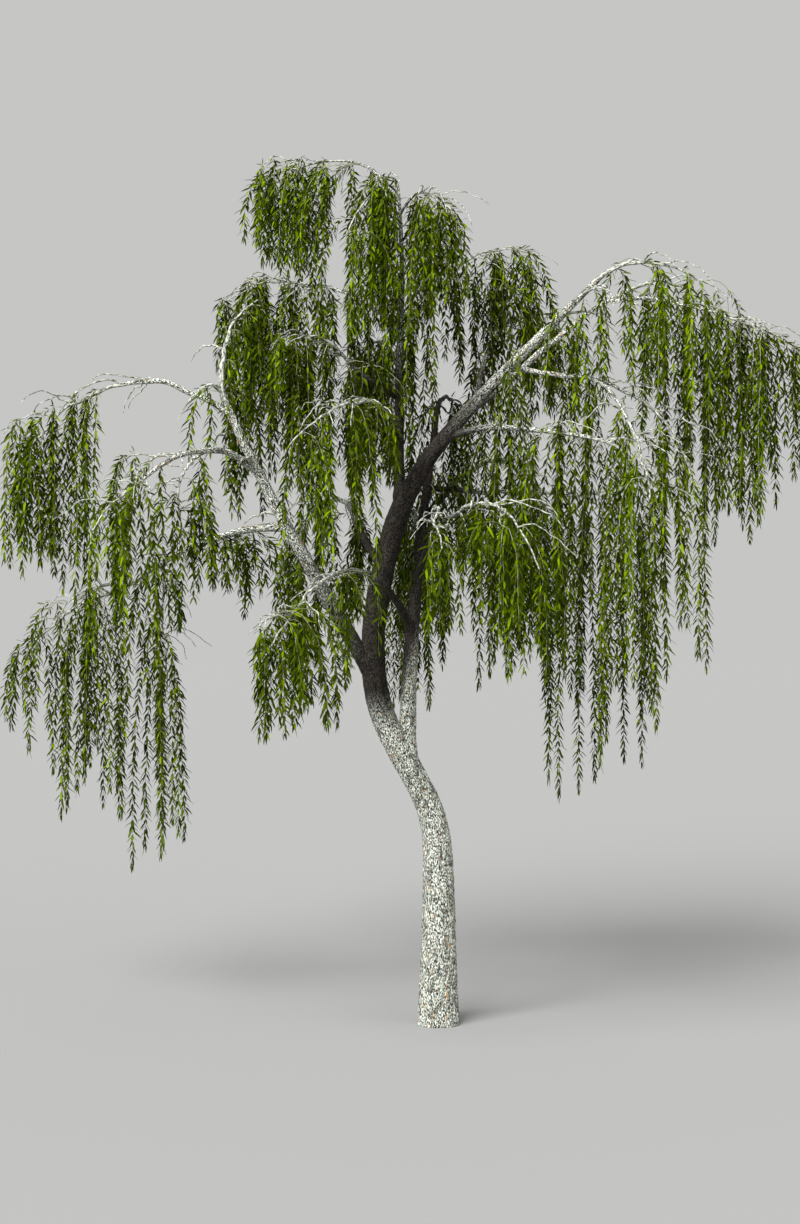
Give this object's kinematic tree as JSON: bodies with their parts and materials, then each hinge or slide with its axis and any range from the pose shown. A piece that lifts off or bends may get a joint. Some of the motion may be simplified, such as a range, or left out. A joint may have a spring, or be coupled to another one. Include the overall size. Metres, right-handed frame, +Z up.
{
  "type": "weeping willow tree",
  "caption": "Weeping willow with a leaning, forked trunk, arching boughs and long hanging strands of narrow leaves, cut flat at ground level.",
  "frame": {"origin": "centre of the flat cut under the trunk, at ground level", "axes": "+Z up along the height of the tree, +X to the right and +Y away for someone who looks at its front"},
  "size_m": [8.2975, 5.9638, 8.9804],
  "materials": {
    "bark": "rough, furrowed, pale grey over brown",
    "foliage": "soft sheen of narrow green leaves"
  },
  "bodies": {
    "root": {"trunk": "bark", "left_stem": "bark", "right_stem": "bark", "right_bough": "bark", "leader": "bark", "left_bough": "bark", "left_outer": "bark", "left_middle": "bark", "left_inner": "bark", "left_lower": "bark", "left_trailing": "bark", "left_front": "bark", "mid_left": "bark", "top_left": "bark", "top_right": "bark", "upper_left": "bark", "upper_mid_left": "bark", "upper_right": "bark", "rear_upper": "bark", "right_rear": "bark", "right_outer": "bark", "right_far": "bark", "right_middle": "bark", "right_drop": "bark", "right_lower": "bark", "right_back": "bark", "right_front": "bark", "front_drop": "bark", "rear_left": "bark", "rear_mid": "bark", "rear_right": "bark", "foliage_left_outer": "foliage", "foliage_left_top": "foliage", "foliage_left_middle": "foliage", "foliage_left_inner": "foliage", "foliage_left_lower": "foliage", "foliage_left_trailing": "foliage", "foliage_left_front": "foliage", "foliage_mid_left": "foliage", "foliage_top_left": "foliage", "foliage_top_centre": "foliage", "foliage_top_right": "foliage", "foliage_upper_left": "foliage", "foliage_upper_mid_left": "foliage", "foliage_upper_right": "foliage", "foliage_rear_upper": "foliage", "foliage_right_rear": "foliage", "foliage_right_high": "foliage", "foliage_right_outer": "foliage", "foliage_right_far": "foliage", "foliage_right_middle": "foliage", "foliage_right_drop": "foliage", "foliage_right_lower": "foliage", "foliage_right_back": "foliage", "foliage_right_front": "foliage", "foliage_front_drop": "foliage", "foliage_rear_high": "foliage", "foliage_rear_left": "foliage", "foliage_rear_mid": "foliage", "foliage_rear_right": "foliage"}
  },
  "joints": []
}
